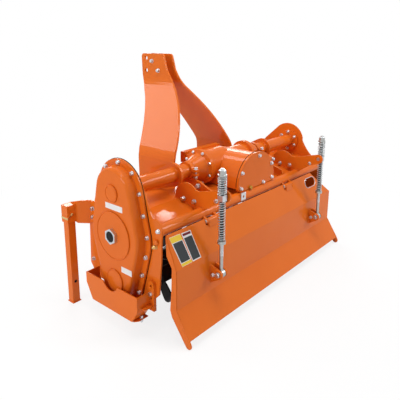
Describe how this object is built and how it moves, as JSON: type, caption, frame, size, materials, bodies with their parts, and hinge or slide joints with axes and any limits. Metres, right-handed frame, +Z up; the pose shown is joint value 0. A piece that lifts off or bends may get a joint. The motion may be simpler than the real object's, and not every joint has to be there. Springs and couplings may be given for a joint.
{
  "type": "tractor-mounted rotary tiller",
  "caption": "Three-point rotary tiller with side gear case, bladed rotor under a hood, swan-neck mast, sprung trailing board and parking stands.",
  "frame": {"origin": "bottom centre of the machine's box, on the ground", "axes": "+X to the machine's right, +Y forwards to the tractor, +Z up"},
  "size_m": [1.7066, 1.035, 1.2357],
  "materials": {
    "orange_paint": "glossy orange enamel on steel and castings",
    "black_paint": "semi-gloss black paint on the rotor",
    "gasket_rubber": "black gasket",
    "zinc_plate": "bright zinc plating",
    "bare_steel": "bare machined steel"
  },
  "bodies": {
    "frame": {"gearbox_housing": "orange_paint", "gearbox_rear_cover": "orange_paint", "axle_tube_left": "orange_paint", "axle_tube_right": "orange_paint", "side_plate_left": "orange_paint", "gear_case_gasket": "gasket_rubber", "gear_case_cover": "orange_paint", "oil_sight_plug": "zinc_plate", "skid_guard_left": "orange_paint", "side_plate_right": "orange_paint", "rotor_bearing_right": "orange_paint", "skid_right": "orange_paint", "hood": "orange_paint", "rear_cross_tube": "orange_paint", "tube_bracket_left": "orange_paint", "tube_bracket_right": "orange_paint", "spring_bracket_left": "orange_paint", "spring_bracket_right": "orange_paint", "mast_plate_left": "orange_paint", "mast_plate_right": "orange_paint", "mast_spacers": "zinc_plate", "front_beam": "orange_paint", "hitch_bracket_left": "orange_paint", "hitch_bracket_right": "orange_paint", "hitch_pin_left": "zinc_plate", "hitch_pin_right": "zinc_plate", "stand_sleeve_left": "orange_paint", "stand_sleeve_right": "orange_paint", "pto_shield": "orange_paint"},
    "rotor": {"rotor_shaft": "black_paint", "rotor_blades": "black_paint"},
    "input_shaft": {"input_shaft": "bare_steel"},
    "trailing_board": {"trailing_board": "orange_paint"},
    "trunnion_left": {"trunnion_left": "zinc_plate", "spring_upper_left": "zinc_plate", "spring_lower_left": "zinc_plate"},
    "spring_rod_left": {"spring_rod_left": "zinc_plate"},
    "stand_leg_left": {"stand_leg_left": "orange_paint"},
    "trunnion_right": {"trunnion_right": "zinc_plate", "spring_upper_right": "zinc_plate", "spring_lower_right": "zinc_plate"},
    "spring_rod_right": {"spring_rod_right": "zinc_plate"},
    "stand_leg_right": {"stand_leg_right": "orange_paint"}
  },
  "joints": [
    {"name": "rotor_spin", "type": "hinge", "parent": "frame", "child": "rotor", "pos_m": [0, -0.1065, 0.22], "axis": [1, 0, 0], "continuous": true},
    {"name": "input_spin", "type": "hinge", "parent": "frame", "child": "input_shaft", "pos_m": [0, 0.0935, 0.64], "axis": [0, 1, 0], "continuous": true},
    {"name": "board_swing", "type": "hinge", "parent": "frame", "child": "trailing_board", "pos_m": [0, -0.3765, 0.484], "axis": [-1, 0, 0], "range_deg": [0, 30], "stiffness_Nm_per_rad": 570, "springref_deg": -8.59},
    {"name": "trunnion_turn_left", "type": "hinge", "parent": "frame", "child": "trunnion_left", "pos_m": [-0.479, -0.4785, 0.625], "axis": [-1, 0, 0], "range_deg": [0, 19.2]},
    {"name": "rod_slide_left", "type": "slide", "parent": "trunnion_left", "child": "spring_rod_left", "axis": [0, 0, 1], "range_m": [0, 0.064], "deforming": ["spring_lower_left"]},
    {"name": "stand_lift_left", "type": "slide", "parent": "frame", "child": "stand_leg_left", "axis": [0, 0, 1], "range_m": [0, 0.3]},
    {"name": "trunnion_turn_right", "type": "hinge", "parent": "frame", "child": "trunnion_right", "pos_m": [0.479, -0.4785, 0.625], "axis": [-1, 0, 0], "range_deg": [0, 19.2]},
    {"name": "rod_slide_right", "type": "slide", "parent": "trunnion_right", "child": "spring_rod_right", "axis": [0, 0, 1], "range_m": [0, 0.064], "deforming": ["spring_lower_right"]},
    {"name": "stand_lift_right", "type": "slide", "parent": "frame", "child": "stand_leg_right", "axis": [0, 0, 1], "range_m": [0, 0.3]}
  ],
  "couplings": [
    {"joint": "input_spin", "follows": "rotor_spin", "ratio": 2.5714},
    {"joint": "trunnion_turn_left", "follows": "board_swing", "ratio": 0.636},
    {"joint": "rod_slide_left", "follows": "board_swing", "m_per_rad": 0.12},
    {"joint": "trunnion_turn_right", "follows": "board_swing", "ratio": 0.636},
    {"joint": "rod_slide_right", "follows": "board_swing", "m_per_rad": 0.12}
  ]
}
